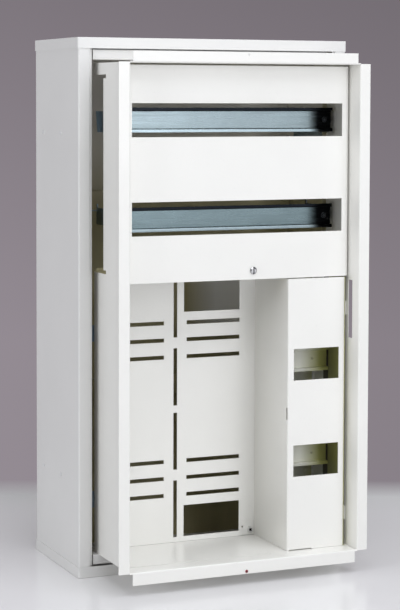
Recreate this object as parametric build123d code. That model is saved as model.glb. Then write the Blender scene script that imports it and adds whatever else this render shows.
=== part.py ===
from build123d import *
import os

# Recessed electricity meter and distribution cabinet, folded from sheet steel, shown without its door.
# Millimetres. The front faces -Y, +X is to the right seen from the front, +Z is up.
# The origin is the middle of the underside of the casing.

# Casing sizes
casing_width = 427.0
casing_height = 775.0
casing_depth = 194.0
casing_sheet = 1.2
cap_sheet = 1.0
cap_skirt = 15.5
cap_fit = 0.1
cap_corner = 2.4
flange_width = 16.9
lip_width = 4.1
lip_setback = 3.0
rim_setback = 4.2
rim_drop = 16.1
rim_slit = 2.0
rim_end_gap = 1.8
rim_shelf = 16.0
rim_foot = 9.0
rim_sheet = 1.2

# Sleeve sizes
sleeve_width = 356.5
sleeve_shift = -3.2
sleeve_height = 707.0
sleeve_depth = 143.0
sleeve_sheet = 1.2
protrusion = 120.0
sleeve_seat_gap = 0.3
left_flange = 15.9
right_flange = 14.8
top_flange = 15.0
bottom_flange = 17.0
flange_notch = 5.0
rear_flange = 15.0
cutout_top_margin = 16.6
cutout_height = 282.6
cutout_front = 104.0
cutout_flange = 7.6
relief_length = 5.4
relief_depth = 11.0
latch_slot_height = 85.0
latch_slot_width = 13.2
latch_slot_middle = 351.0
latch_slot_front = 20.4
hook_slit_width = 2.4
hook_slit_setback = 27.0
hook_bridge_width = 16.0
hook_bridge_middle = 154.6
hook_slit_length = 67.0
corner_slit_width = 1.8
corner_slit_setback = 3.0
plug_hole = 3.4
plug_head = 4.4
plug_head_height = 0.8
plug_edge = 3.6
top_hole = 3.0

# Cover sizes
cover_sheet = 1.2
cover_recess = 30.0
cover_bend = 7.0
upper_cover_return = 20.0
cover_side_gap = 0.9
cover_top_gap = 2.4
cover_split_gap = 1.6
upper_cover_height = 304.0
upper_cover_hem = 10.0
din_slot_height = 47.3
din_slot_width = 327.0
din_row_pitch = 137.7
din_first_row = 76.7
lower_cover_width = 95.7
lower_cover_bend = 8.0
lower_cover_return = 56.5
lower_right_gap = 3.3
lower_floor_gap = 0.3
floor_slit_height = 1.4
floor_slit_left = 3.2
floor_slit_length = 37.0
floor_slit_depth = 3.0
window_width = 73.0
window_height = 46.0
window_left_margin = 9.6
window_first_row = 271.6
window_pitch = 140.6
hook_tab_height = 20.0
hook_tab_inset = 36.6
edge_slit_height = 17.2
edge_slit_middle = 200.8
edge_slit_depth = 4.0

# Meter plate sizes
plate_sheet = 1.2
plate_floor_gap = 0.3
plate_height = 411.0
plate_side_gap = 4.0
slot_width = 5.9
pattern_shift = -1.3
cross_slot_length = 85.6
cross_slot_offset = 18.0
cross_slot_pitch = 25.2
cross_group_pitch = 205.2
cross_group_middle = 198.6
stem_slot_length = 84.8
stem_gap_wide = 16.0
stem_gap_narrow = 10.7
service_hole_width = 90.0
service_hole_height = 46.4
service_hole_sill = 8.0
upper_hole_sill = 342.1
corner_notch = 22.0
corner_plate_sheet = 2.0
corner_plate_rise = 10.0
corner_plate_overlap = 12.0
corner_plate_lap = 1.5
corner_hole = 3.0
corner_hole_inset = 3.2
corner_hole_height = 12.8
corner_screw_head = 9.6
corner_screw_inset = 6.2
corner_screw_height = 7.8

# Rails and their brackets
rail_height = 35.0
rail_base = 27.0
rail_depth = 7.5
rail_sheet = 1.0
rail_to_cover = 43.0
rail_end_gap = 6.4
rail_first_row = 77.0
rail_row_pitch = 141.2
rail_screw_inset = 9.9
bracket_sheet = 1.5
bracket_foot = 16.0
bracket_ear = 14.0
upper_bracket_height = 30.0
upper_bracket_drop = 3.2
upper_bracket_reach = 68.5
upper_bracket_slant = 6.2
upper_bracket_lip = 3.4
lower_bracket_height = 24.0
lower_bracket_rise = 1.8
lower_bracket_reach = 75.0
lug_length = 7.7
lug_width = 5.0
lug_drop = 3.2
tick_width = 3.6
tick_rise = 5.6
short_rail_left_gap = 3.0
short_rail_right_gap = 7.5
short_rail_hole = 3.2
short_rail_hole_inset = 24.0
post_width = 32.0
post_foot = 14.0
post_lap = 2.0

# Fasteners and small parts
screw_shank = 4.0
screw_head = 7.6
screw_head_height = 2.4
recess_width = 1.0
recess_depth = 1.4
screw_overrun = 3.0
rivet_shank = 3.2
rivet_head = 5.6
rivet_head_height = 1.0
hole_clearance = 0.4
moving_gap = 0.3
lock_head = 10.4
lock_head_height = 2.6
lock_dome = 1.8
lock_dome_height = 1.0
lock_slot_width = 1.6
lock_slot_depth = 1.6
lock_shank = 7.0
lock_cam_length = 15.0
lock_cam_sheet = 2.0
lock_cam_width = 5.0
lock_from_bottom = 12.7
lock_side_shift = 22.0
channel_height = 20.0
channel_sheet = 1.2
channel_depth = 25.0
cap_plate_length = 250.0
cap_plate_width = 70.0
cap_plate_setback = 42.0
cap_plate_overlap = 12.0
cap_plate_sheet = 1.5
cap_plate_corner = 3.0
knockout_diameter = 22.5
knockout_count = 4
knockout_recess = 0.5
crossbar_height = 29.0
crossbar_depth = 10.0
crossbar_foot = 10.0
crossbar_end_gap = 2.0
crossbar_from_middle = 145.0
wall_hole = 7.0
wall_hole_spacing_x = 350.0
wall_hole_spacing_z = 640.0
side_rivet_spacing_y = 78.0
side_rivet_spacing_z = 501.0
side_rivet_setback = 20.0
strip_width = 25.0
strip_sheet = 2.0
earth_stud = 6.0
earth_stud_length = 22.0
earth_stud_inset = 60.0
earth_stud_height = 64.0
earth_foot = 10.8
earth_foot_sheet = 1.5
earth_washer = 12.0
earth_washer_sheet = 1.2
earth_nut = 10.0
earth_nut_height = 4.8
ear_height = 24.0
ear_sheet = 2.0
ear_side_gap = 3.2
ear_overlap = 18.0
ear_first_row = 76.0
ear_row_pitch = 242.0
ear_corner = 3.0
rear_hole_inset = 9.0

# Places worked out from the sizes
front = -casing_depth / 2
back = casing_depth / 2
body_width = casing_width - 2 * (cap_sheet + cap_fit)
body_front = front + cap_sheet + cap_fit
body_back = back - cap_sheet - cap_fit
inner_side = body_width / 2 - casing_sheet
earth_stud_side = inner_side - earth_stud_inset
rim_edge_z = cap_skirt + rim_drop
rim_half_length = body_width / 2 - flange_width - lip_width - rim_end_gap
sleeve_left = sleeve_shift - sleeve_width / 2
sleeve_right = sleeve_shift + sleeve_width / 2
sleeve_bottom = rim_edge_z + sleeve_seat_gap
sleeve_top = sleeve_bottom + sleeve_height
plug_z = sleeve_bottom - bottom_flange + plug_edge
sleeve_front = front - protrusion
sleeve_rear = sleeve_front + sleeve_depth
wall_left = sleeve_left + sleeve_sheet
wall_right = sleeve_right - sleeve_sheet
floor_z = sleeve_bottom + sleeve_sheet
ceiling_z = sleeve_top - sleeve_sheet
cover_front = sleeve_front + cover_recess
cover_back = cover_front + cover_sheet
upper_top = ceiling_z - cover_top_gap
upper_bottom = upper_top - upper_cover_height
slot_z = [upper_top - din_first_row, upper_top - din_first_row - din_row_pitch]
row_z = [upper_top - rail_first_row, upper_top - rail_first_row - rail_row_pitch]
bracket_z = [row_z[0] - upper_bracket_drop, row_z[1] + lower_bracket_rise]
lower_top = upper_bottom - cover_split_gap
lower_bottom = floor_z + lower_floor_gap
lower_right = wall_right - lower_right_gap
lower_left = lower_right - lower_cover_width
plate_front = sleeve_rear
plate_back = plate_front + plate_sheet
plate_bottom = floor_z + plate_floor_gap
plate_top = plate_bottom + plate_height
plate_left = sleeve_left + plate_side_gap
plate_right = sleeve_right - plate_side_gap
meter_middle = (wall_left + lower_left) / 2 + pattern_shift
rail_front = cover_back + rail_to_cover
rail_back = rail_front + rail_depth
cutout_top = sleeve_top - cutout_top_margin
cutout_bottom = cutout_top - cutout_height
window_z = [floor_z + window_first_row - i * window_pitch for i in (0, 1)]
lock_x = sleeve_shift + lock_side_shift
lock_z = upper_bottom + lock_from_bottom
bend = 1.6
small_bend = 0.9
through = 5.0


# Shared shapes
def block(x0, x1, y0, y1, z0, z1):
    """Solid box between two corners."""
    return Pos((x0 + x1) / 2, (y0 + y1) / 2, (z0 + z1) / 2) * Box(abs(x1 - x0), abs(y1 - y0), abs(z1 - z0))


def rod(diameter, start, length, axis):
    """Solid cylinder from a start point along X, Y or Z."""
    turn = {"X": Rotation(0, 90, 0), "Y": Rotation(-90, 0, 0), "Z": Rotation(0, 0, 0)}[axis]
    solid = Cylinder(diameter / 2, length, align=(Align.CENTER, Align.CENTER, Align.MIN))
    return Pos(*start) * turn * solid


def folded_upright(points, thickness, z0, z1, radius=bend):
    """Sheet folded along a plan-view centre line of (x, y) points, standing from z0 to z1."""
    path = FilletPolyline(*points, radius=radius)
    return extrude(Pos(0, 0, z0) * trace(path, thickness), amount=z1 - z0, dir=(0, 0, 1))


def folded_lying(points, thickness, x0, x1, radius=bend):
    """Sheet folded along a side-view centre line of (y, z) points, running from x0 to x1."""
    path = FilletPolyline(*points, radius=radius)
    face = Plane(origin=(x0, 0, 0), x_dir=(0, 1, 0), z_dir=(1, 0, 0)) * trace(path, thickness)
    return extrude(face, amount=x1 - x0, dir=(1, 0, 0))


def blind_rivet(point, reach, axis, sign):
    """Rivet with a flat head outside and its shank going in."""
    shank_length = reach + rivet_head_height
    turn = {"X": Rotation(0, 90 * sign, 0), "Y": Rotation(-90 * sign, 0, 0)}[axis]
    head = Pos(0, 0, -rivet_head_height / 2) * Cylinder(rivet_head / 2, rivet_head_height)
    shank = Pos(0, 0, shank_length / 2) * Cylinder(rivet_shank / 2, shank_length)
    return Pos(*point) * turn * (head + shank)


def pan_screw(point, reach, axis, sign, head_width=screw_head):
    """Pan head screw with a cross recess; the point is the seat of its head, the shank goes in."""
    level = {"X": Rotation(0, 90 * sign, 0), "Y": Rotation(-90 * sign, 0, 0)}
    turn = level.get(axis, Rotation(90 - 90 * sign, 0, 0))
    head = Pos(0, 0, -screw_head_height / 2) * Cylinder(head_width / 2, screw_head_height)
    recess = Box(head_width / 2, recess_width, 2 * recess_depth)
    recess += Box(recess_width, head_width / 2, 2 * recess_depth)
    shank = Pos(0, 0, reach / 2) * Cylinder(screw_shank / 2, reach)
    return Pos(*point) * turn * (head + shank - Pos(0, 0, -screw_head_height) * recess)


def group(solids):
    """Several separate solids kept as one node."""
    return Compound(children=list(solids))


# Casing pieces
def casing_shell():
    """Back and both sides folded from one sheet, with a flange and a stepped lip along each front edge."""
    half = body_width / 2 - casing_sheet / 2
    face_y = body_front + casing_sheet / 2
    lip_y = face_y + lip_setback
    flange_x = body_width / 2 - flange_width
    lip_x = flange_x - lip_width
    rear_y = body_back - casing_sheet / 2
    right = [(lip_x, lip_y), (flange_x, lip_y), (flange_x, face_y)]
    left = [(-x, y) for x, y in reversed(right)]
    points = right + [(half, face_y), (half, rear_y), (-half, rear_y), (-half, face_y)] + left
    radii = [small_bend, small_bend, bend, bend, bend, bend, small_bend, small_bend]
    shell = folded_upright(points, casing_sheet, cap_sheet, casing_height - cap_sheet, radii)
    for x in (-1, 1):
        for z in (-1, 1):
            height = casing_height / 2 + z * wall_hole_spacing_z / 2
            centre = (x * wall_hole_spacing_x / 2, body_back - through, height)
            shell -= rod(wall_hole, centre, 2 * through, "Y")
    for x in (-1, 1):
        for y, z in side_rivet_places():
            start = x * body_width / 2 - through
            shell -= rod(rivet_shank + hole_clearance, (start, y, z), 2 * through, "X")
    stud_place = (earth_stud_side, body_back - through, earth_stud_height)
    return shell - rod(earth_stud + hole_clearance, stud_place, 2 * through, "Y")


def side_rivet_places():
    """Rivet centres on a side wall as (y, z)."""
    places = []
    for i in (-1, 1):
        for j in (-1, 1):
            y = side_rivet_setback + i * side_rivet_spacing_y / 2
            z = casing_height / 2 + j * side_rivet_spacing_z / 2
            places.append((y, z))
    return places


def casing_cap():
    """Tray over the lower end of the casing, open under its cable entry plate."""
    half = casing_width / 2
    outer = block(-half, half, front, back, 0, cap_skirt)
    outer = fillet(outer.edges().filter_by(Axis.Z), cap_corner)
    outer = chamfer(outer.faces().sort_by(Axis.Z)[0].edges(), cap_sheet / 2)
    inner = block(-half + cap_sheet, half - cap_sheet, front + cap_sheet, back - cap_sheet,
                  cap_sheet, cap_skirt + 1)
    tray = outer - inner
    opening_y = cap_plate_setback
    tray -= block(-cap_plate_length / 2, cap_plate_length / 2, opening_y - cap_plate_width / 2,
                  opening_y + cap_plate_width / 2, -1, cap_sheet + 1)
    for x, y in entry_screw_places():
        tray -= rod(screw_shank + hole_clearance, (x, y, -1), cap_sheet + 2, "Z")
    return tray


def rim_channel():
    """Channel on the lower cap, set back behind its skirt; it closes the casing below the sleeve."""
    rim_y = front + rim_sheet / 2 + rim_setback
    rear_y = rim_y + rim_shelf
    shelf_z = rim_edge_z - rim_sheet / 2
    foot_z = cap_sheet + rim_sheet / 2
    points = [(rim_y, cap_skirt + rim_slit), (rim_y, shelf_z), (rear_y, shelf_z), (rear_y, foot_z),
              (rear_y + rim_foot, foot_z)]
    return folded_lying(points, rim_sheet, -rim_half_length, rim_half_length, small_bend)


def entry_screw_places():
    """Screw centres of a cable entry plate as (x, y)."""
    dx = cap_plate_length / 2 + cap_plate_overlap / 2
    dy = cap_plate_width / 2
    middle = cap_plate_setback
    return [(x * dx, middle + y * (dy - cap_plate_overlap)) for x in (-1, 1) for y in (-1, 1)]


def entry_plate():
    """Cable entry plate inside the lower cap, with a row of knock-outs."""
    half_x = cap_plate_length / 2 + cap_plate_overlap
    half_y = cap_plate_width / 2 + cap_plate_overlap
    middle = cap_plate_setback
    bottom = cap_sheet
    plate = block(-half_x, half_x, middle - half_y, middle + half_y, bottom, bottom + cap_plate_sheet)
    plate = chamfer(plate.edges().filter_by(Axis.Z), cap_plate_corner)
    step = cap_plate_length / knockout_count
    for i in range(knockout_count):
        x = (i - (knockout_count - 1) / 2) * step
        plate -= rod(knockout_diameter, (x, middle, bottom), knockout_recess, "Z")
    for x, y in entry_screw_places():
        plate -= rod(screw_shank, (x, y, 0), through, "Z")
    return plate


def entry_screws():
    """Screws that hold the lower entry plate, driven from inside the casing."""
    top = cap_sheet + cap_plate_sheet
    return [pan_screw((x, y, top), top, "Z", -1) for x, y in entry_screw_places()]


def upside_down(shape):
    """Mirror a lower casing piece to the top of the casing."""
    return mirror(shape, about=Plane.XY.offset(casing_height / 2))


def other_side(shape):
    """Mirror a piece of the sleeve about the sleeve's own middle."""
    return mirror(shape, about=Plane.YZ.offset(sleeve_shift))


def crossbar(z):
    """Hat-section bar welded across the inside of the back."""
    rear = body_back - casing_sheet
    web = rear - crossbar_depth + casing_sheet / 2
    foot = rear - casing_sheet / 2
    low = z - crossbar_height / 2
    high = z + crossbar_height / 2
    points = [(foot, low - crossbar_foot), (foot, low), (web, low), (web, high), (foot, high),
              (foot, high + crossbar_foot)]
    end = inner_side - crossbar_end_gap
    return folded_lying(points, casing_sheet, -end, end, small_bend)


def backing_strips(side):
    """Two steel strips inside a casing side that take the masonry anchors."""
    outer = side * inner_side
    inner = side * (inner_side - strip_sheet)
    strips = []
    for j in (-1, 1):
        z = casing_height / 2 + j * side_rivet_spacing_z / 2
        y = side_rivet_setback
        half = side_rivet_spacing_y / 2 + strip_width / 2
        strip = block(outer, inner, y - half, y + half, z - strip_width / 2, z + strip_width / 2)
        for i in (-1, 1):
            start = (side * inner_side - through, y + i * side_rivet_spacing_y / 2, z)
            strip -= rod(rivet_shank, start, 2 * through, "X")
        strips.append(strip)
    return group(strips)


def side_rivets(side):
    """Four rivets through a casing side into its backing strips."""
    reach = casing_sheet + strip_sheet
    face = side * body_width / 2
    return group([blind_rivet((face, y, z), reach, "X", -side) for y, z in side_rivet_places()])


def earth_stud_piece():
    """Welded earthing stud on the inside of the back."""
    rear = body_back - casing_sheet
    tip = (earth_stud_side, rear - earth_stud_length, earth_stud_height)
    stud = rod(earth_stud, tip, earth_stud_length, "Y")
    foot_start = (earth_stud_side, rear - earth_foot_sheet, earth_stud_height)
    foot = rod(earth_foot, foot_start, earth_foot_sheet, "Y")
    weld = rod(earth_stud, (earth_stud_side, rear, earth_stud_height), casing_sheet, "Y")
    return stud + foot + weld


def earth_nut_pieces():
    """Washer and hexagon nut run down onto the earthing stud."""
    start = body_back - casing_sheet - earth_foot_sheet
    nut_face = start - earth_washer_sheet
    washer = rod(earth_washer, (earth_stud_side, nut_face, earth_stud_height), earth_washer_sheet, "Y")
    hexagon = RegularPolygon(earth_nut / 2, 6, major_radius=False)
    place = Plane(origin=(earth_stud_side, nut_face, earth_stud_height), x_dir=(1, 0, 0), z_dir=(0, -1, 0))
    nut = extrude(place * hexagon, amount=earth_nut_height)
    bore = rod(earth_stud, (earth_stud_side, start - 2 * through, earth_stud_height), 3 * through, "Y")
    return group([washer - bore, nut - bore])


# Sleeve pieces
def sleeve_side(flange):
    """Left wall of the sleeve with its front flange, rear flange and the cut-out behind the rail rows."""
    wall = sleeve_left + sleeve_sheet / 2
    y_front = sleeve_front + sleeve_sheet / 2
    y_rear = sleeve_rear - sleeve_sheet / 2
    y_cut = sleeve_front + cutout_front + sleeve_sheet / 2
    lead = [(sleeve_left - flange, y_front), (wall, y_front)]
    full = lead + [(wall, y_rear), (sleeve_left + rear_flange, y_rear)]
    short = lead + [(wall, y_cut), (wall_left + cutout_flange, y_cut)]
    relief = lead + [(wall, sleeve_front + cutout_front - relief_depth)]
    plain = lead + [(wall, y_rear)]
    side = folded_upright(full, sleeve_sheet, sleeve_bottom, cutout_bottom)
    side += folded_upright(relief, sleeve_sheet, cutout_bottom, cutout_bottom + relief_length)
    side += folded_upright(short, sleeve_sheet, cutout_bottom + relief_length, cutout_top - relief_length)
    side += folded_upright(relief, sleeve_sheet, cutout_top - relief_length, cutout_top)
    side += folded_upright(plain, sleeve_sheet, cutout_top, sleeve_top)
    return side


def sleeve_end(wall_z, outward, flange):
    """Top or bottom wall of the sleeve with its flange; outward is 1 at the top and -1 at the bottom."""
    y_front = sleeve_front + sleeve_sheet / 2
    z = wall_z - outward * sleeve_sheet / 2
    points = [(y_front, wall_z + outward * flange), (y_front, z), (sleeve_rear, z)]
    end = folded_lying(points, sleeve_sheet, sleeve_left + sleeve_sheet / 2, sleeve_right - sleeve_sheet / 2)
    for x0, x1 in ((sleeve_left, sleeve_left + flange_notch), (sleeve_right - flange_notch, sleeve_right)):
        z0 = wall_z + outward * (bend - sleeve_sheet / 2)
        end -= block(x0, x1, sleeve_front - 1, sleeve_front + bend + sleeve_sheet,
                     z0, wall_z + outward * (flange + 1))
    return end


def sleeve():
    """Depth-adjustable sleeve: four walls, notched outward flanges, side cut-outs, latch and hook slits."""
    body = sleeve_side(left_flange) + other_side(sleeve_side(right_flange))
    body += sleeve_end(sleeve_top, 1, top_flange)
    body += sleeve_end(sleeve_bottom, -1, bottom_flange)
    latch_z = sleeve_bottom + latch_slot_middle
    latch_y = sleeve_front + latch_slot_front
    body -= block(wall_right - 1, sleeve_right + 1, latch_y, latch_y + latch_slot_width,
                  latch_z - latch_slot_height / 2, latch_z + latch_slot_height / 2)
    slit_y = sleeve_front + hook_slit_setback
    bridge = wall_left + hook_bridge_middle
    for x0, x1 in ((wall_left + 2, bridge - hook_bridge_width / 2),
                   (bridge + hook_bridge_width / 2, bridge + hook_bridge_width / 2 + hook_slit_length)):
        body -= block(x0, x1, slit_y, slit_y + hook_slit_width, sleeve_bottom - 1, floor_z + 1)
    body -= block(wall_right - corner_slit_width, wall_right,
                  sleeve_front + corner_slit_setback, cover_front, sleeve_bottom - 1, floor_z + 1)
    body -= rod(plug_hole, (sleeve_shift, sleeve_front - 1, plug_z), through, "Y")
    top_hole_z = sleeve_top + top_flange - plug_edge
    body -= rod(top_hole, (sleeve_shift, sleeve_front - 1, top_hole_z), through, "Y")
    for x, z in plate_screw_places():
        body -= rod(screw_shank, (x, sleeve_rear - through, z), 2 * through, "Y")
    for x, z in ear_rivet_places():
        body -= rod(rivet_shank, (x, sleeve_front + cutout_front - 1, z), through, "Y")
    return body


def plate_screw_places():
    """Screws through the sleeve's rear flange, the meter plate and the guide ears, as (x, z)."""
    inset = rear_hole_inset
    rows = [sleeve_bottom + ear_first_row + i * ear_row_pitch for i in (0, 1)]
    return [(x, z) for x in (sleeve_left + inset, sleeve_right - inset) for z in rows]


def ear_rivet_places():
    """Rivets that join the rail brackets to the flange of the cut-out, as (x, z)."""
    inset = sleeve_sheet + cutout_flange / 2
    return [(x, z) for x in (sleeve_left + inset, sleeve_right - inset) for z in bracket_z]


def flange_plug():
    """Small plug in the hole of the lower flange."""
    head = rod(plug_head, (sleeve_shift, sleeve_front - plug_head_height, plug_z), plug_head_height, "Y")
    head = chamfer(head.edges().sort_by(Axis.Y)[0], plug_head_height / 2)
    return head + rod(plug_hole, (sleeve_shift, sleeve_front, plug_z), 2 * sleeve_sheet, "Y")


def guide_ears(left):
    """Two flat ears behind the meter plate that steer the sleeve between the casing sides."""
    ears = []
    for i in (0, 1):
        z = sleeve_bottom + ear_first_row + i * ear_row_pitch
        if left:
            x0, x1 = -inner_side + ear_side_gap, sleeve_left + ear_overlap
            hole_x = sleeve_left + rear_hole_inset
        else:
            x0, x1 = sleeve_right - ear_overlap, inner_side - ear_side_gap
            hole_x = sleeve_right - rear_hole_inset
        ear = block(x0, x1, plate_back, plate_back + ear_sheet, z - ear_height / 2, z + ear_height / 2)
        ear = chamfer(ear.edges().filter_by(Axis.Y), ear_corner)
        ears.append(ear - rod(screw_shank, (hole_x, plate_back - 1, z), through, "Y"))
    return group(ears)


def plate_screws():
    """Screws through the rear flange, the meter plate and the ears."""
    y = sleeve_rear - sleeve_sheet
    reach = sleeve_sheet + plate_sheet + ear_sheet
    return group([pan_screw((x, y, z), reach, "Y", 1) for x, z in plate_screw_places()])


# Covers
def upper_cover():
    """Blanking cover over the two rail rows, with rounded side returns and a slot for each row."""
    x0 = wall_left + cover_side_gap + cover_sheet / 2
    x1 = wall_right - cover_side_gap - cover_sheet / 2
    face = cover_front + cover_sheet / 2
    points = [(x0, face + upper_cover_return), (x0, face), (x1, face), (x1, face + upper_cover_return)]
    cover = folded_upright(points, cover_sheet, upper_bottom, upper_top, cover_bend)
    for z in (upper_bottom, upper_top - cover_sheet):
        inset = cover_side_gap + cover_sheet + cover_bend
        cover += block(wall_left + inset, wall_right - inset, cover_front + cover_sheet / 2,
                       cover_front + upper_cover_hem, z, z + cover_sheet)
    for z in slot_z:
        cover -= block(sleeve_shift - din_slot_width / 2, sleeve_shift + din_slot_width / 2,
                       cover_front - 1, cover_back + 1, z - din_slot_height / 2, z + din_slot_height / 2)
    return cover - rod(lock_shank + 2 * moving_gap, (lock_x, cover_front - 1, lock_z), through, "Y")


def cover_lock():
    """Quarter-turn lock of the upper cover: slotted head, shank and a cam that grips behind the channel."""
    head_y = cover_front - moving_gap - lock_head_height
    head = rod(lock_head, (lock_x, head_y, lock_z), lock_head_height, "Y")
    head = chamfer(head.edges().sort_by(Axis.Y)[0], lock_dome_height, lock_dome)
    half_slot = lock_slot_width / 2
    head -= block(lock_x - half_slot, lock_x + half_slot, head_y - 1, head_y + lock_slot_depth,
                  lock_z - lock_head, lock_z + lock_head)
    cam_y = channel_web_back() + moving_gap
    shank_y = cover_front - moving_gap
    shank = rod(lock_shank, (lock_x, shank_y, lock_z), cam_y - shank_y, "Y")
    cam = block(lock_x - lock_cam_length / 2, lock_x + lock_cam_length / 2, cam_y, cam_y + lock_cam_sheet,
                lock_z - lock_cam_width / 2, lock_z + lock_cam_width / 2)
    cam += rod(lock_shank, (lock_x, cam_y, lock_z), lock_cam_sheet, "Y")
    return head + shank + cam


def channel_web_back():
    """Rear face of the web of the cross channel."""
    return cover_back + moving_gap + channel_sheet


def cross_channel():
    """Channel between the sleeve walls that both covers bear on, pierced for the cam of the lock."""
    web = cover_back + moving_gap + channel_sheet / 2
    deep = cover_back + channel_depth
    low = lock_z - channel_height / 2 + channel_sheet / 2
    high = lock_z + channel_height / 2 - channel_sheet / 2
    points = [(deep, low), (web, low), (web, high), (deep, high)]
    inset = cover_side_gap + cover_sheet + cover_bend
    channel = folded_lying(points, channel_sheet, wall_left + inset, wall_right - inset)
    tongue_y = cover_front + upper_cover_return + cover_sheet
    for x0, x1 in ((wall_left, wall_left + inset + 1), (wall_right - inset - 1, wall_right)):
        channel += block(x0, x1, tongue_y, deep, high - channel_sheet / 2, high + channel_sheet / 2)
        channel += block(x0, x1, tongue_y, deep, low - channel_sheet / 2, low + channel_sheet / 2)
    clear = 2 * moving_gap
    y0 = web - 2
    y1 = web + 2
    channel -= block(lock_x - lock_cam_length / 2 - clear, lock_x + lock_cam_length / 2 + clear, y0, y1,
                     lock_z - lock_cam_width / 2 - clear, lock_z + lock_cam_width / 2 + clear)
    return channel - rod(lock_shank + 2 * clear, (lock_x, y0, lock_z), y1 - y0, "Y")


def lower_cover():
    """Cover of the switch compartment: side wall back to the meter plate, two windows and hook tabs."""
    x0 = lower_left + cover_sheet / 2
    x1 = lower_right - cover_sheet / 2
    face = cover_front + cover_sheet / 2
    points = [(x0, plate_front), (x0, face), (x1, face), (x1, cover_front + lower_cover_return)]
    cover = folded_upright(points, cover_sheet, lower_bottom, lower_top, [bend, lower_cover_bend])
    for z in window_z:
        left = lower_left + window_left_margin
        cover -= block(left, left + window_width, cover_front - 1, cover_back + 1,
                       z - window_height / 2, z + window_height / 2)
    slit_z = floor_z + edge_slit_middle
    cover -= block(lower_left - 1, lower_left + cover_sheet, cover_back, cover_back + edge_slit_depth,
                   slit_z - edge_slit_height / 2, slit_z + edge_slit_height / 2)
    slit_left = lower_left + floor_slit_left
    cover -= block(slit_left, slit_left + floor_slit_length, cover_front - 1, cover_front + floor_slit_depth,
                   lower_bottom - 1, floor_z + floor_slit_height)
    tab_y = cover_front + lower_cover_bend + cover_sheet
    tab_reach = hook_tab_inset + hook_tab_height / 2
    for z in (lower_top - tab_reach, lower_bottom + tab_reach):
        cover += block(lower_right - cover_sheet / 2, wall_right, tab_y, tab_y + cover_sheet,
                       z - hook_tab_height / 2, z + hook_tab_height / 2)
    return cover


# Meter plate
def meter_plate():
    """Full-width plate behind the sleeve with the slotted cross for the meter and two service holes."""
    plate = block(plate_left, plate_right, plate_front, plate_back, plate_bottom, plate_top)
    y0 = plate_front - 1
    y1 = plate_back + 1
    column_left = meter_middle - cross_slot_offset - cross_slot_length / 2
    column_right = meter_middle + cross_slot_offset + cross_slot_length / 2
    pattern_z = floor_z + cross_group_middle
    for column in (column_left, column_right):
        for grouping in (-1, 1):
            for row in (-1, 0, 1):
                z = pattern_z + grouping * cross_group_pitch / 2 + row * cross_slot_pitch
                plate -= block(column - cross_slot_length / 2, column + cross_slot_length / 2, y0, y1,
                               z - slot_width / 2, z + slot_width / 2)
    inner = stem_gap_narrow / 2 + stem_slot_length / 2
    outer = inner + stem_slot_length + stem_gap_wide
    for offset in (-outer, -inner, inner, outer):
        z = pattern_z + offset
        plate -= block(meter_middle - slot_width / 2, meter_middle + slot_width / 2, y0, y1,
                       z - stem_slot_length / 2, z + stem_slot_length / 2)
    hole_right = column_right + cross_slot_length / 2
    for sill in (floor_z + service_hole_sill, floor_z + upper_hole_sill):
        plate -= block(hole_right - service_hole_width, hole_right, y0, y1, sill, sill + service_hole_height)
    plate -= block(lower_left - corner_notch, lower_left + cover_sheet, y0, y1,
                   plate_bottom - 1, plate_bottom + corner_notch)
    for x, z in plate_screw_places() + post_screw_places():
        plate -= rod(screw_shank, (x, y0, z), through, "Y")
    return plate


def corner_bracket():
    """Angle behind the notch in the lower corner of the meter plate."""
    x0 = lower_left - corner_notch - corner_plate_lap
    x1 = lower_left + corner_plate_overlap
    top = plate_bottom + corner_notch + corner_plate_rise
    plate = block(x0, x1, plate_back, plate_back + corner_plate_sheet, plate_bottom, top)
    x, z = corner_screw_place()
    plate -= rod(screw_shank, (x, plate_back - 1, z), through, "Y")
    hole_x = lower_left - corner_notch + corner_hole_inset
    hole_z = plate_bottom + corner_hole_height
    return plate - rod(corner_hole, (hole_x, plate_back - 1, hole_z), through, "Y")


def corner_screw_place():
    """Centre of the screw in the corner notch as (x, z)."""
    return lower_left - corner_screw_inset, plate_bottom + corner_screw_height


def corner_screw():
    """Screw that clamps the corner bracket."""
    x, z = corner_screw_place()
    return pan_screw((x, plate_back, z), corner_plate_sheet + screw_overrun, "Y", 1, corner_screw_head)


# Rails
def hat_rail(x0, x1, z):
    """Top-hat mounting rail with its opening forward."""
    brim = rail_front + rail_sheet / 2
    web = rail_back - rail_sheet / 2
    leg = rail_base / 2 - rail_sheet / 2
    edge = rail_height / 2
    points = [(brim, z - edge), (brim, z - leg), (web, z - leg),
              (web, z + leg), (brim, z + leg), (brim, z + edge)]
    return folded_lying(points, rail_sheet, x0, x1, small_bend)


def long_rail(z):
    """Rail across the whole sleeve, drilled for the screws into its brackets."""
    rail = hat_rail(wall_left + rail_end_gap, wall_right - rail_end_gap, z)
    for x in rail_screw_columns():
        rail -= rod(screw_shank, (x, rail_front, z), 2 * rail_depth, "Y")
    return rail


def bracket_plane():
    """Outer face of the left rail bracket's long leg."""
    return wall_left + cutout_flange + moving_gap


def rail_screw_columns():
    """X of the screws at both ends of a long rail."""
    x = bracket_plane() + rail_screw_inset
    return [x, 2 * sleeve_shift - x]


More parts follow.
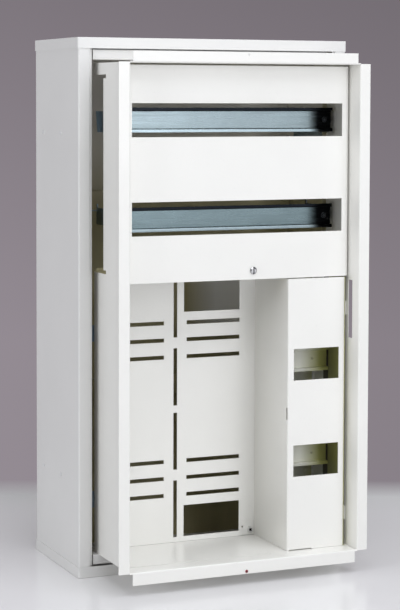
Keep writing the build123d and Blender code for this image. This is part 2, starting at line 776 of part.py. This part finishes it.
def rail_bracket(row, height, reach, slant):
    """Left bracket of a long rail: foot behind the rail, long leg with a slanted end, riveted ear."""
    outer = bracket_plane()
    z = bracket_z[row]
    leg_x = outer + bracket_sheet / 2
    foot_y = rail_back + bracket_sheet / 2
    end_y = rail_back + reach
    low = z - height / 2
    high = z + height / 2
    points = [(outer + bracket_foot, foot_y), (leg_x, foot_y), (leg_x, end_y)]
    bracket = folded_upright(points, bracket_sheet, low, high)
    if slant:
        bracket -= slanted_block(outer - 1, outer + bracket_sheet + 1, end_y, slant, -2 * slant, low, high)
    ear_y = sleeve_front + cutout_front + sleeve_sheet
    bracket += block(wall_left + sleeve_sheet, outer + bracket_sheet, ear_y, ear_y + bracket_sheet,
                     z - bracket_ear / 2, z + bracket_ear / 2)
    bracket -= rod(rivet_shank, (wall_left + cutout_flange / 2, ear_y - 1, z), through, "Y")
    return bracket - rod(screw_shank, (rail_screw_columns()[0], rail_back - 1, row_z[row]), through, "Y")


def slanted_block(x0, x1, end_y, slant, thickness, low, high):
    """Block along a rear edge that leans forward towards its lower end."""
    foot_y = end_y - slant
    top = [(end_y, high), (end_y - thickness, high)]
    foot = [(foot_y - thickness, low), (foot_y, low)]
    outline = Polyline(*top, *foot, close=True)
    outline = Plane(origin=(x0, 0, 0), x_dir=(0, 1, 0), z_dir=(1, 0, 0)) * make_face(outline)
    return extrude(outline, amount=x1 - x0, dir=(1, 0, 0))


def upper_rail_bracket():
    """Left bracket of the upper rail, with a narrow lip bent outward along its slanted end."""
    bracket = rail_bracket(0, upper_bracket_height, upper_bracket_reach, upper_bracket_slant)
    outer = bracket_plane()
    low = bracket_z[0] - upper_bracket_height / 2
    high = bracket_z[0] + upper_bracket_height / 2
    end_y = rail_back + upper_bracket_reach
    return bracket + slanted_block(outer - upper_bracket_lip, outer + bracket_sheet, end_y,
                                   upper_bracket_slant, bracket_sheet, low, high)


def lower_rail_bracket():
    """Left bracket of the lower rail, with an upright tick and a lug bent outward at its rear end."""
    bracket = rail_bracket(1, lower_bracket_height, lower_bracket_reach, 0)
    outer = bracket_plane()
    high = bracket_z[1] + lower_bracket_height / 2
    end_y = rail_back + lower_bracket_reach
    bracket += block(outer, outer + bracket_sheet, end_y - tick_width, end_y,
                     high - bracket_sheet, high + tick_rise)
    lug_z = high - lug_drop
    return bracket + block(outer - lug_length, outer + bracket_sheet, end_y - lug_width, end_y,
                           lug_z - bracket_sheet, lug_z)


def rail_screws():
    """Screws through the long rails into their brackets."""
    y = rail_back - rail_sheet
    reach = rail_sheet + bracket_sheet + screw_overrun
    return group([pan_screw((x, y, z), reach, "Y", 1) for x in rail_screw_columns() for z in row_z])


def bracket_rivets():
    """Rivets that join the rail brackets to the sleeve."""
    y = sleeve_front + cutout_front
    reach = sleeve_sheet + bracket_sheet
    return group([blind_rivet((x, y, z), reach, "Y", 1) for x, z in ear_rivet_places()])


def short_rail_ends():
    """Ends in X of the rails behind the windows."""
    return lower_left + cover_sheet + short_rail_left_gap, lower_right - short_rail_right_gap


def short_rail(z):
    """Rail behind one window of the lower cover."""
    x0, x1 = short_rail_ends()
    rail = hat_rail(x0, x1, z)
    return rail - rod(short_rail_hole, (x1 - short_rail_hole_inset, rail_front, z), 2 * rail_depth, "Y")


def post_screw_places():
    """Screws of the short rails' posts in the meter plate as (x, z)."""
    middle = sum(short_rail_ends()) / 2
    return [(middle, post_arm_z(z) + post_foot / 2) for z in window_z]


def post_arm_z(z):
    """Height of the level arm of a post."""
    return z + rail_base / 2 - post_lap


def short_rail_post(z):
    """Z-shaped post that stands on the meter plate and has a short rail welded to its head."""
    middle = sum(short_rail_ends()) / 2
    arm = post_arm_z(z)
    front_y = rail_back + bracket_sheet / 2
    rear_y = plate_front - bracket_sheet / 2
    low = z - rail_base / 2 + post_lap
    points = [(front_y, low), (front_y, arm), (rear_y, arm), (rear_y, arm + post_foot)]
    post = folded_lying(points, bracket_sheet, middle - post_width / 2, middle + post_width / 2)
    return post - rod(screw_shank, (middle, plate_front - through, arm + post_foot / 2), 2 * through, "Y")


def short_rail_screws():
    """Screws that hold the posts of the short rails to the meter plate."""
    reach = bracket_sheet + plate_sheet + screw_overrun
    seat = plate_front - bracket_sheet
    return group([pan_screw((x, seat, z), reach, "Y", 1) for x, z in post_screw_places()])


# Write every piece
lower_cap = casing_cap()
lower_rim = rim_channel()
lower_entry = entry_plate()
lower_screws = group(entry_screws())
pieces = {
    "casing_shell": casing_shell(),
    "casing_bottom_cap": lower_cap,
    "casing_top_cap": upside_down(lower_cap),
    "bottom_rim_channel": lower_rim,
    "top_rim_channel": upside_down(lower_rim),
    "bottom_entry_plate": lower_entry,
    "top_entry_plate": upside_down(lower_entry),
    "bottom_entry_screws": lower_screws,
    "top_entry_screws": upside_down(lower_screws),
    "upper_crossbar": crossbar(casing_height / 2 + crossbar_from_middle),
    "lower_crossbar": crossbar(casing_height / 2 - crossbar_from_middle),
    "left_backing_strips": backing_strips(-1),
    "right_backing_strips": backing_strips(1),
    "left_side_rivets": side_rivets(-1),
    "right_side_rivets": side_rivets(1),
    "earth_stud": earth_stud_piece(),
    "earth_nut_and_washer": earth_nut_pieces(),
    "sleeve": sleeve(),
    "flange_plug": flange_plug(),
    "left_guide_ears": guide_ears(True),
    "right_guide_ears": guide_ears(False),
    "plate_screws": plate_screws(),
    "upper_cover": upper_cover(),
    "cover_lock": cover_lock(),
    "cross_channel": cross_channel(),
    "lower_cover": lower_cover(),
    "meter_plate": meter_plate(),
    "corner_bracket": corner_bracket(),
    "corner_screw": corner_screw(),
    "upper_rail": long_rail(row_z[0]),
    "lower_rail": long_rail(row_z[1]),
    "upper_rail_bracket_left": upper_rail_bracket(),
    "upper_rail_bracket_right": other_side(upper_rail_bracket()),
    "lower_rail_bracket_left": lower_rail_bracket(),
    "lower_rail_bracket_right": other_side(lower_rail_bracket()),
    "rail_screws": rail_screws(),
    "bracket_rivets": bracket_rivets(),
    "upper_short_rail": short_rail(window_z[0]),
    "lower_short_rail": short_rail(window_z[1]),
    "upper_short_rail_post": short_rail_post(window_z[0]),
    "lower_short_rail_post": short_rail_post(window_z[1]),
    "short_rail_screws": short_rail_screws(),
}
os.makedirs("parts", exist_ok=True)
for name, shape in pieces.items():
    export_step(shape, f"parts/{name}.step")
    print(name, round(sum(solid.volume for solid in shape.solids()) / 1000, 2), "cm3")
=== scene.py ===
import math
import bpy
from mathutils import Matrix, Vector


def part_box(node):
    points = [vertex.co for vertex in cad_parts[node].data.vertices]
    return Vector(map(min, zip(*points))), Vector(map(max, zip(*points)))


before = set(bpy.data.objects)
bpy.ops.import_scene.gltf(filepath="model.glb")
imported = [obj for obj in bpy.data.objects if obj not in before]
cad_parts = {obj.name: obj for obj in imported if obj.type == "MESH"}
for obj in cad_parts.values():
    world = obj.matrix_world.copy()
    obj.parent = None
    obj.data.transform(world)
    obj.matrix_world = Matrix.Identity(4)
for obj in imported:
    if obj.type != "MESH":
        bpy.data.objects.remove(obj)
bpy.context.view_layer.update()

# Camera, fitted to the photograph: metres, degrees, and pixels of a 400 x 610 frame
FRAME_HEIGHT_PX = 610
SENSOR_MM = 36
FOCAL_PX = 1860.34
AXIS_ROW_OFFSET_PX = 100.05
CAMERA_PLACE = (-1.09945, -2.58436, 0.69039)
YAW, PITCH, ROLL = math.radians(-23.36), math.radians(-3.31), math.radians(0.16)

# Stage, in metres. The backdrop stands at its distance from the camera, just behind the object, and its tone
# changes from the first level to the second over the heights and the width that the camera sees.
STAGE_WIDTH = 30
FLOOR_GAP = 0.0004
FLOOR_COLOUR = (0.77, 0.765, 0.77)
FLOOR_GLOW = 0.075
BACKDROP_DISTANCE = 3.19
BACKDROP_TOP = 9
BACKDROP_FADE = 0.028
BACKDROP_COLOUR = (0.222, 0.196, 0.220)
BACKDROP_HEIGHTS, BACKDROP_UPWARDS = (0.275, 0.850), (1.22, 0.88)
BACKDROP_REACH, BACKDROP_SIDEWAYS = 0.325, (1.08, 0.92)
WORLD_LEVEL = 0.13
LIGHT_COLOUR = (0.935, 0.95, 1.0)
LIGHT_TARGET = (0, 0, 0.4)

# Axes of the shared frame
ACROSS, UP = 0, 2


def set_camera():
    """Set the camera and return the level directions away from it and to its right."""
    flat = Vector((-math.sin(YAW), math.cos(YAW), 0))
    right = Vector((math.cos(YAW), math.sin(YAW), 0))
    up = Vector((0, 0, 1))
    forward = flat * math.cos(PITCH) + up * math.sin(PITCH)
    lifted = up * math.cos(PITCH) - flat * math.sin(PITCH)
    x_axis = right * math.cos(ROLL) + lifted * math.sin(ROLL)
    y_axis = lifted * math.cos(ROLL) - right * math.sin(ROLL)
    turn = Matrix((x_axis, y_axis, -forward)).transposed().to_4x4()
    data = bpy.data.cameras.new("camera")
    data.sensor_fit = "VERTICAL"
    data.sensor_height = SENSOR_MM
    data.lens = FOCAL_PX / FRAME_HEIGHT_PX * SENSOR_MM
    data.shift_y = -AXIS_ROW_OFFSET_PX / FRAME_HEIGHT_PX
    data.clip_start = 0.05
    camera = bpy.data.objects.new("camera", data)
    camera.matrix_world = Matrix.Translation(CAMERA_PLACE) @ turn
    bpy.context.scene.collection.objects.link(camera)
    bpy.context.scene.camera = camera
    return flat, right


def scaled(colour, factor):
    return tuple(part * factor for part in colour)


class Nodes:
    """Short way to build one material's nodes."""

    def __init__(self, name, **sockets):
        self.material = bpy.data.materials.new(name)
        self.material.use_nodes = True
        self.tree = self.material.node_tree
        self.shader = self.tree.nodes["Principled BSDF"]
        for key, value in sockets.items():
            self.shader.inputs[key.replace("_", " ")].default_value = value
        self.place = self.add("ShaderNodeTexCoord").outputs["Object"]

    def add(self, kind, **settings):
        node = self.tree.nodes.new(kind)
        for key, value in settings.items():
            setattr(node, key, value)
        return node

    def link(self, start, end):
        self.tree.links.new(start, end)

    def coordinates(self):
        """The point's x, y and z in the shared frame."""
        split = self.add("ShaderNodeSeparateXYZ")
        self.link(self.place, split.inputs[0])
        return split.outputs

    def stretched(self, scale):
        node = self.add("ShaderNodeMapping")
        node.inputs["Scale"].default_value = scale
        self.link(self.place, node.inputs["Vector"])
        return node.outputs[0]

    def noise(self, scale, detail, roughness=0.5, place=None):
        node = self.add("ShaderNodeTexNoise")
        node.inputs["Scale"].default_value = scale
        node.inputs["Detail"].default_value = detail
        node.inputs["Roughness"].default_value = roughness
        self.link(place or self.place, node.inputs["Vector"])
        return node.outputs[0]

    def ramp(self, value, low, high, start, end):
        """Start where value is low or less, end where it is high or more."""
        node = self.add("ShaderNodeMapRange")
        node.inputs["From Min"].default_value = low
        node.inputs["From Max"].default_value = high
        node.inputs["To Min"].default_value = start
        node.inputs["To Max"].default_value = end
        self.link(value, node.inputs["Value"])
        return node.outputs[0]

    def math(self, operation, first, second):
        node = self.add("ShaderNodeMath", operation=operation)
        for socket, value in zip(node.inputs, (first, second)):
            if isinstance(value, (int, float)):
                socket.default_value = value
            else:
                self.link(value, socket)
        return node.outputs[0]

    def blend(self, factor, first, second):
        """The first colour where factor is 0, the second where it is 1."""
        node = self.add("ShaderNodeMix", data_type="RGBA")
        self.link(factor, node.inputs[0])
        for socket, value in ((node.inputs[6], first), (node.inputs[7], second)):
            if isinstance(value, tuple):
                socket.default_value = value + (1,)
            else:
                self.link(value, socket)
        return node.outputs[2]

    def bump(self, height, distance, strength, before=None):
        node = self.add("ShaderNodeBump")
        node.inputs["Distance"].default_value = distance
        node.inputs["Strength"].default_value = strength
        self.link(height, node.inputs["Height"])
        if before:
            self.link(before, node.inputs["Normal"])
        return node.outputs[0]

    def inside(self, low, high):
        """1 where the point lies between two corners, 0 elsewhere."""
        result = None
        for socket, low_end, high_end in zip(self.coordinates(), low, high):
            above = self.math("GREATER_THAN", socket, low_end)
            below = self.math("LESS_THAN", socket, high_end)
            both = self.math("MULTIPLY", above, below)
            result = both if result is None else self.math("MULTIPLY", result, both)
        return result

    def edge_mask(self, radius):
        """1 on sharp edges, 0 on flat faces."""
        bevel = self.add("ShaderNodeBevel", samples=6)
        bevel.inputs["Radius"].default_value = radius
        flat = self.add("ShaderNodeNewGeometry").outputs["Normal"]
        dot = self.add("ShaderNodeVectorMath", operation="DOT_PRODUCT")
        self.link(bevel.outputs[0], dot.inputs[0])
        self.link(flat, dot.inputs[1])
        return self.ramp(dot.outputs["Value"], 0.995, 0.85, 0.0, 1.0)

    def into(self, name, value):
        self.link(value, self.shader.inputs[name])


def powder_coat(name, colour, roughness=0.29, edge=0.25, shaded_zones=()):
    """White powder coat on sheet steel: fine orange peel, faint cloudiness, thinner film on the edges.

    The regions listed last have a thin primer darkened as painted shade, and their colour also fades by position
    as painted light and shade: low corner, high corner, colour at the start and at the end of a ramp, axis of the
    ramp, and where it starts and ends.
    """
    m = Nodes(name, IOR=1.5)
    cloud = m.noise(scale=7, detail=4)
    speck = m.noise(scale=420, detail=2)
    base = m.blend(m.ramp(cloud, 0.35, 0.65, 0, 1), colour, scaled(colour, 0.972))
    base = m.blend(m.ramp(speck, 0.68, 0.76, 0, 0.35), base, scaled(colour, 0.86))
    streaks = m.noise(40, 4, 0.6, m.stretched((1, 1, 0.12))) if shaded_zones else None
    # Painted shade: olive primer zones that darken and fade by position
    for low, high, zone_start, far, axis, ends in shaded_zones:
        zone_colour = m.blend(m.ramp(streaks, 0.35, 0.65, 0, 1), zone_start, scaled(zone_start, 0.88))
        zone_colour = m.blend(m.ramp(m.coordinates()[axis], *ends, 0, 1), zone_colour, far)
        base = m.blend(m.inside(low, high), base, zone_colour)
    patchy = m.ramp(m.noise(scale=60, detail=4), 0.4, 0.7, 0.2, 1.0)
    worn = m.math("MULTIPLY", m.math("MULTIPLY", m.edge_mask(0.0006), patchy), edge)
    m.into("Base Color", m.blend(worn, base, scaled(colour, 0.62)))
    m.into("Roughness", m.ramp(m.noise(24, 3), 0.3, 0.7, roughness - 0.01, roughness + 0.02))
    peel = m.bump(m.noise(330, 2, 0.4), distance=0.00016, strength=0.5)
    m.into("Normal", m.bump(m.noise(9, 2), 0.0003, 0.35, peel))
    return m.material


def zinc(name, colour, tint, roughness, stretch=(1, 1, 1), light_and_shade_bands=()):
    """Zinc plating with bluish passivation: drawn grain, soft blotches and dull edges.

    The last argument lists zones painted darker or paler as painted light and shade: axis, where the zone begins,
    where it is full, and its colour.
    """
    m = Nodes(name, Metallic=1.0)
    grain = m.noise(260, 3, 0.6, m.stretched(stretch))
    blotch = m.noise(scale=28, detail=4)
    base = m.blend(m.ramp(blotch, 0.35, 0.68, 0, 1), colour, tint)
    base = m.blend(m.ramp(grain, 0.3, 0.75, 0, 0.22), base, scaled(colour, 0.78))
    base = m.blend(m.math("MULTIPLY", m.edge_mask(0.0005), 0.5), base, (0.5, 0.56, 0.58))
    for axis, start, full, zone in light_and_shade_bands:
        base = m.blend(m.ramp(m.coordinates()[axis], start, full, 0, 1), base, zone)
    m.into("Base Color", base)
    m.into("Roughness", m.ramp(grain, 0.25, 0.75, roughness - 0.06, roughness + 0.12))
    m.into("Normal", m.bump(grain, distance=0.00008, strength=0.5))
    return m.material


def polished(name, colour, roughness, recess=None):
    """Plated small parts with fine turning marks and a little grime, painted black down in the recess, if there
    is one, as its shade.
    """
    m = Nodes(name, Metallic=1.0)
    rings = m.noise(scale=900, detail=2)
    grime = m.noise(scale=170, detail=4)
    base = m.blend(m.ramp(grime, 0.5, 0.75, 0, 0.6), colour, scaled(colour, 0.5))
    if recess:
        base = m.blend(m.inside(*recess), base, (0.01, 0.01, 0.01))
    m.into("Base Color", base)
    m.into("Roughness", m.ramp(rings, 0.3, 0.7, roughness * 0.7, roughness * 1.5))
    m.into("Normal", m.bump(rings, distance=0.00005, strength=0.4))
    return m.material


def plastic(name, colour, middle):
    """Moulded plastic with a fine spark-eroded grain, painted black in the sunk middle as its shade."""
    m = Nodes(name, IOR=1.46)
    grain = m.noise(scale=1400, detail=2)
    base = m.blend(m.ramp(m.noise(300, 3), 0.35, 0.7, 0, 1), colour, scaled(colour, 0.8))
    m.into("Base Color", m.blend(m.inside(*middle), base, (0.004, 0.002, 0.003)))
    m.into("Roughness", m.ramp(grain, 0.3, 0.7, 0.38, 0.55))
    m.into("Normal", m.bump(grain, distance=0.00006, strength=0.5))
    return m.material


def recess_of(node, half_width, half_height, depth, start=0.00004):
    """Corners of the recess in the front of a node, from start behind its face."""
    low, high = (Vector(corner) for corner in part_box(node))
    x, z = (low.x + high.x) / 2, (low.z + high.z) / 2
    near, far = low.y + start, low.y + depth
    return (x - half_width, near, z - half_height), (x + half_width, far, z + half_height)


def dress(material, *names):
    """Give CAD nodes a material."""
    for name in names:
        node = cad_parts[name]
        node.data.materials.clear()
        node.data.materials.append(material)


def soft_light(name, place, size, watts):
    """Softbox that looks at the middle of the object."""
    data = bpy.data.lights.new(name, "AREA")
    data.shape = "RECTANGLE"
    data.size, data.size_y = size
    data.energy = watts
    data.color = LIGHT_COLOUR
    light = bpy.data.objects.new(name, data)
    light.location = place
    light.rotation_euler = (Vector(LIGHT_TARGET) - Vector(place)).to_track_quat("-Z", "Y").to_euler()
    bpy.context.scene.collection.objects.link(light)


def set_world(light_level, seen):
    """Even light on the object; the camera sees a plain grey."""
    world = bpy.data.worlds.new("studio")
    bpy.context.scene.world = world
    world.use_nodes = True
    tree = world.node_tree
    tree.nodes.clear()
    out = tree.nodes.new("ShaderNodeOutputWorld")
    mix = tree.nodes.new("ShaderNodeMixShader")
    lit = tree.nodes.new("ShaderNodeBackground")
    back = tree.nodes.new("ShaderNodeBackground")
    ray = tree.nodes.new("ShaderNodeLightPath")
    lit.inputs["Color"].default_value = (1, 1, 1, 1)
    lit.inputs["Strength"].default_value = light_level
    back.inputs["Color"].default_value = seen + (1,)
    tree.links.new(ray.outputs["Is Camera Ray"], mix.inputs[0])
    tree.links.new(lit.outputs[0], mix.inputs[1])
    tree.links.new(back.outputs[0], mix.inputs[2])
    tree.links.new(mix.outputs[0], out.inputs[0])


def set_floor():
    """Pale, slightly glossy floor."""
    bpy.ops.mesh.primitive_plane_add(size=STAGE_WIDTH, location=(0, 0, -FLOOR_GAP))
    floor = bpy.context.object
    floor.name = "floor"
    m = Nodes("studio_floor", Roughness=0.22, IOR=1.45)
    cloud = m.ramp(m.noise(scale=3, detail=3), 0.3, 0.7, 0, 1)
    m.into("Base Color", m.blend(cloud, FLOOR_COLOUR, scaled(FLOOR_COLOUR, 0.985)))
    m.shader.inputs["Emission Color"].default_value = (1, 1, 1, 1)
    m.shader.inputs["Emission Strength"].default_value = FLOOR_GLOW
    floor.data.materials.append(m.material)


def set_backdrop(flat, right, colour):
    """Grey paper behind the object, open seen from behind, whose foot fades into the floor.

    It is darker towards its top and its right, as paper that is lit from the lower left.
    """
    middle = Vector(CAMERA_PLACE) + flat * BACKDROP_DISTANCE
    middle.z = 0
    reach = right * STAGE_WIDTH / 2
    rise = Vector((0, 0, BACKDROP_TOP))
    corners = [middle - reach, middle + reach, middle + reach + rise, middle - reach + rise]
    mesh = bpy.data.meshes.new("backdrop")
    mesh.from_pydata(corners, [], [(0, 1, 2, 3)])
    backdrop = bpy.data.objects.new("backdrop", mesh)
    bpy.context.scene.collection.objects.link(backdrop)
    backdrop.visible_shadow = False
    backdrop.visible_diffuse = False
    m = Nodes("studio_backdrop")
    glow = m.add("ShaderNodeEmission")
    glow.inputs["Color"].default_value = colour + (1,)
    height = m.coordinates()[UP]
    across = m.add("ShaderNodeVectorMath", operation="DOT_PRODUCT")
    across.inputs[1].default_value = right
    m.link(m.place, across.inputs[0])
    centre = middle.dot(right)
    ends = centre - BACKDROP_REACH, centre + BACKDROP_REACH
    sideways = m.ramp(across.outputs["Value"], *ends, *BACKDROP_SIDEWAYS)
    upwards = m.ramp(height, *BACKDROP_HEIGHTS, *BACKDROP_UPWARDS)
    m.link(m.math("MULTIPLY", upwards, sideways), glow.inputs["Strength"])
    front = m.math("SUBTRACT", 1.0, m.add("ShaderNodeNewGeometry").outputs["Backfacing"])
    solid = m.math("MULTIPLY", front, m.ramp(height, 0, BACKDROP_FADE, 0, 1))
    mix = m.add("ShaderNodeMixShader")
    m.link(solid, mix.inputs[0])
    m.link(m.add("ShaderNodeBsdfTransparent").outputs[0], mix.inputs[1])
    m.link(glow.outputs[0], mix.inputs[2])
    m.link(mix.outputs[0], m.tree.nodes["Material Output"].inputs[0])
    mesh.materials.append(m.material)


flat, right = set_camera()
set_world(WORLD_LEVEL, BACKDROP_COLOUR)
set_floor()
set_backdrop(flat, right, BACKDROP_COLOUR)
soft_light("key", place=(-0.7, -3.1, 2.7), size=(2.0, 1.6), watts=24)
soft_light("centre", place=(0.45, -3.3, 1.2), size=(1.3, 1.2), watts=21)
soft_light("right", place=(1.3, -3.2, 0.9), size=(1.8, 1.6), watts=13)
soft_light("side", place=(-3.2, -0.8, 1.2), size=(1.8, 2.0), watts=38)
soft_light("top", place=(0.0, -0.5, 3.2), size=(2.0, 2.0), watts=46)
soft_light("front", place=(0.9, -2.2, 2.9), size=(2.0, 1.4), watts=19)

# Rooms inside the cabinet, in metres
CASING_ROOM = (-0.2118, -0.0905, 0.0), (0.2118, 0.0954, 0.78)
CASING_BACK = (0.0, 0.0930, 0.335), (0.2118, 0.0954, 0.450)
COVER_BACK, RAIL_BACK, PLATE_BACK = -0.1857, -0.1000, -0.0700
SWITCH_LEFT, SWITCH_RIGHT = 0.0762, 0.1700
SLEEVE_LEFT, SLEEVE_RIGHT = -0.1808, 0.1732
SLEEVE_FLOOR, COVER_SPLIT, SLEEVE_CEILING = 0.0325, 0.433, 0.7382

SLEEVE_WHITE = (0.885, 0.878, 0.835)
CASING_WHITE = (0.82, 0.816, 0.795)
# Inner faces: a thin primer whose olive is darkened as painted shade, and a paler olive with less painted shade
SHADED_PRIMER = (0.45, 0.405, 0.225)
PALER_SHADED_PRIMER = (0.64, 0.62, 0.47)
INNER_WHITE = (0.88, 0.88, 0.78)
# Paler colour high inside the casing, painted light
PALER_LIT_INSIDE = (0.84, 0.81, 0.75)
SHADE = (0.06, 0.05, 0.03)
CASING_PRIMER_AND_SHADE = (
    # Casing room: dark olive below as painted shade, paler above as painted light
    (*CASING_ROOM, SHADED_PRIMER, PALER_LIT_INSIDE, UP, (0.52, 0.66)),
    # Casing back behind the switch compartment: paler to the right, a painted pool of light
    (*CASING_BACK, SHADED_PRIMER, (0.92, 0.91, 0.86), ACROSS, (0.035, 0.085)),
)
BEHIND_COVERS = (
    # Switch compartment: its short rails and the plate behind them, white at the left and darkening to olive at
    # the right as painted shade, and the joint at their right ends, painted nearly black as its shadow
    (
        (SWITCH_LEFT, COVER_BACK, SLEEVE_FLOOR), (SWITCH_RIGHT, RAIL_BACK, COVER_SPLIT),
        INNER_WHITE, (0.40, 0.40, 0.14), ACROSS, (0.120, 0.152),
    ),
    (
        (SWITCH_LEFT, RAIL_BACK, SLEEVE_FLOOR), (SWITCH_RIGHT, PLATE_BACK, COVER_SPLIT),
        INNER_WHITE, (0.60, 0.60, 0.30), ACROSS, (0.155, 0.172),
    ),
    # Nearly black strip painted as the shadow in that joint
    ((0.1725, -0.1310, SLEEVE_FLOOR), (0.1745, -0.1060, COVER_SPLIT), SHADE, SHADE, ACROSS, (0.0, 1.0)),
    # Room behind the upper cover: thin primer darkened as painted shade, paler towards the top
    (
        (SLEEVE_LEFT, COVER_BACK, COVER_SPLIT), (SLEEVE_RIGHT, PLATE_BACK, SLEEVE_CEILING),
        SHADED_PRIMER, PALER_SHADED_PRIMER, UP, (0.45, 0.80),
    ),
)
# The sleeve's coat carries the painted shade of the zones behind the covers
white = powder_coat("powder_coat", SLEEVE_WHITE, shaded_zones=BEHIND_COVERS)
dress(powder_coat("cover_powder_coat", SLEEVE_WHITE), "upper_cover")
casing_white = powder_coat("casing_powder_coat", CASING_WHITE, 0.4)
shaded_casing_inside = powder_coat("casing_shell_coat", CASING_WHITE, 0.4, shaded_zones=CASING_PRIMER_AND_SHADE)
dress(
    casing_white,
    "casing_top_cap", "casing_bottom_cap", "top_rim_channel", "bottom_rim_channel",
    "top_entry_plate", "bottom_entry_plate",
)
dress(shaded_casing_inside, "casing_shell", "upper_crossbar", "lower_crossbar")
dress(
    white,
    "sleeve", "lower_cover", "meter_plate", "cross_channel", "corner_bracket",
    "upper_short_rail", "lower_short_rail", "upper_short_rail_post", "lower_short_rail_post",
)

# Rails: the lower brim is paler as a painted highlight, and the upper brim and the right end are nearly black as
# painted shadow; the lower rail's face is darker than the upper's as painted shade
BRIM = 0.0046
BRIM_BLUR = 0.0004
RAIL_END_SHADE = 0.130, 0.146
DRAWN_ACROSS = (0.06, 1, 1)
for rail, face in (("upper_rail", (0.24, 0.295, 0.31)), ("lower_rail", (0.17, 0.225, 0.238))):
    foot, top = (corner[UP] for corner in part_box(rail))
    light_and_shade_bands = (
        (UP, foot + BRIM + BRIM_BLUR, foot + BRIM - BRIM_BLUR, (0.34, 0.42, 0.45)),
        (UP, top - BRIM - BRIM_BLUR, top - BRIM + BRIM_BLUR, (0.012, 0.014, 0.018)),
        (ACROSS, *RAIL_END_SHADE, (0.008, 0.009, 0.010)),
    )
    dress(zinc("zinc_" + rail, face, scaled(face, 0.9), 0.24, DRAWN_ACROSS, light_and_shade_bands), rail)

dress(
    zinc("zinc_bracket", (0.30, 0.37, 0.41), (0.25, 0.33, 0.39), 0.38),
    "upper_rail_bracket_left", "lower_rail_bracket_left",
    "left_guide_ears", "right_guide_ears", "left_backing_strips", "right_backing_strips",
)
# Right rail brackets and rail screws: zinc painted nearly black as the shade at the rails' right ends
dress(
    zinc("zinc_in_painted_shade", (0.035, 0.038, 0.042), (0.02, 0.022, 0.025), 0.42),
    "upper_rail_bracket_right", "lower_rail_bracket_right", "rail_screws",
)
dress(
    polished("fastener_zinc", (0.74, 0.75, 0.75), 0.3),
    "bottom_entry_screws", "top_entry_screws", "plate_screws", "bracket_rivets",
    "short_rail_screws",
)
dress(powder_coat("painted_rivets", (0.78, 0.78, 0.78), 0.4, 0.6), "left_side_rivets", "right_side_rivets")

# The screw's socket, the lock's slot and the plug's sunk middle are painted black as their shade
screw_socket = recess_of("corner_screw", 0.0019, 0.0019, depth=0.0016, start=-0.0001)
lock_slot = recess_of("cover_lock", 0.0009, 0.006, depth=0.0017)
plug_middle = recess_of("flange_plug", 0.0010, 0.0010, depth=0.0017, start=-0.0001)
dress(polished("corner_screw_zinc", (0.80, 0.80, 0.79), 0.4, screw_socket), "corner_screw")
dress(polished("lock_chrome", (0.55, 0.55, 0.56), 0.14, lock_slot), "cover_lock")
dress(polished("brass", (0.75, 0.58, 0.28), 0.3), "earth_stud", "earth_nut_and_washer")
dress(plastic("red_plastic", (0.30, 0.006, 0.025), plug_middle), "flange_plug")

bpy.context.scene.view_settings.view_transform = "Standard"
